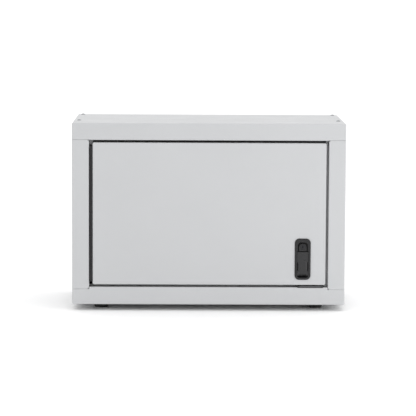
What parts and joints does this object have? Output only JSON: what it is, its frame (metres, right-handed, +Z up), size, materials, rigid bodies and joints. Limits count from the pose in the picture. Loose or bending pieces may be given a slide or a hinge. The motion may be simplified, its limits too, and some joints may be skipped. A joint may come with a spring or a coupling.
{
  "type": "phone charging cabinet",
  "caption": "Low wall or bench cabinet in folded steel with one lockable inset door, piano hinge, pull lever and key lock, a slotted phone rack and a charging unit behind it.",
  "frame": {"origin": "on the surface the feet stand on, under the middle of the body", "axes": "+X to the right along the width, +Y to the back, +Z up; the door faces -Y"},
  "size_m": [0.6, 0.3047, 0.4162],
  "materials": {
    "steel": "satin light grey powder coat",
    "zinc": "zinc plated",
    "hinge_steel": "plain rolled steel, oiled",
    "black_plastic": "fine texture",
    "rubber": "matt",
    "pole_steel": "ground",
    "magnet": "matt",
    "lock_metal": "polished",
    "rack_plastic": "fine texture",
    "board": "solder mask",
    "light_pipe": "clear",
    "fuse_glass": "clear",
    "mains_sheath": "smooth",
    "earth_sheath": "smooth",
    "dc_sheath": "smooth"
  },
  "bodies": {
    "cabinet": {"back_panel": "steel", "back_screws": "zinc", "base_tray": "steel", "board_spacers": "zinc", "catch_body": "black_plastic", "catch_magnet": "magnet", "catch_pole": "pole_steel", "catch_screws": "zinc", "charge_sockets": "pole_steel", "charger_fascia": "steel", "charging_boards": "board", "dc_leads": "dc_sheath", "earth_lead": "earth_sheath", "fan_frame": "black_plastic", "fan_guard": "pole_steel", "fan_screws": "zinc", "foot_screws": "zinc", "hinge_leaf_frame": "hinge_steel", "hinge_pin": "hinge_steel", "hinge_rivets_frame": "zinc", "inlet_housing": "black_plastic", "inlet_pins": "lock_metal", "inlet_screws": "zinc", "lead_clip": "black_plastic", "light_pipes": "light_pipe", "mains_lead": "mains_sheath", "psu_base": "zinc", "psu_cover": "zinc", "psu_screws": "zinc", "psu_terminals": "black_plastic", "rack_base": "rack_plastic", "rack_bench": "steel", "rubber_feet": "rubber", "seam_rivets": "zinc", "side_panel_left": "steel", "side_panel_right": "steel", "slot_dividers": "rack_plastic", "slot_mats": "rubber", "spacer_screws": "zinc", "stop_buffers": "rubber", "top_cover": "steel", "top_screws": "zinc"},
    "door": {"door_panel": "steel", "door_liner": "steel", "liner_rivets": "zinc", "door_stiffener": "steel", "hinge_leaf_door": "hinge_steel", "hinge_rivets_door": "zinc", "handle_dish": "black_plastic", "lock_boss": "black_plastic", "lever_pin": "hinge_steel", "lever_spring": "hinge_steel"},
    "lever": {"handle_lever": "black_plastic"},
    "lock": {"lock_cylinder": "lock_metal", "lock_tongue": "hinge_steel", "tongue_screw": "zinc"},
    "switch": {"rocker_switch": "black_plastic"},
    "fuse_carrier": {"fuse_drawer": "black_plastic", "fuse": "fuse_glass"},
    "fan": {"fan_rotor": "black_plastic"}
  },
  "joints": [
    {"name": "door_swing", "type": "hinge", "parent": "cabinet", "child": "door", "pos_m": [-0.2589, -0.147, 0.21475], "axis": [0, 0, -1], "range_deg": [0, 115]},
    {"name": "lever_lift", "type": "hinge", "parent": "door", "child": "lever", "pos_m": [0.207, -0.1482, 0.1292], "axis": [-1, 0, 0], "range_deg": [0, 50], "stiffness_Nm_per_rad": 0.02},
    {"name": "lock_turn", "type": "hinge", "parent": "door", "child": "lock", "pos_m": [0.207, -0.1515, 0.1428], "axis": [0, -1, 0], "range_deg": [0, 90]},
    {"name": "rocker_tilt", "type": "hinge", "parent": "cabinet", "child": "switch", "pos_m": [0.19, 0.1455, 0.15], "axis": [1, 0, 0], "range_deg": [0, 16]},
    {"name": "fuse_drawer_slide", "type": "slide", "parent": "cabinet", "child": "fuse_carrier", "axis": [0, 1, 0], "range_m": [0, 0.012]},
    {"name": "fan_spin", "type": "hinge", "parent": "cabinet", "child": "fan", "pos_m": [-0.17, 0.139, 0.33], "axis": [0, 1, 0], "continuous": true}
  ]
}
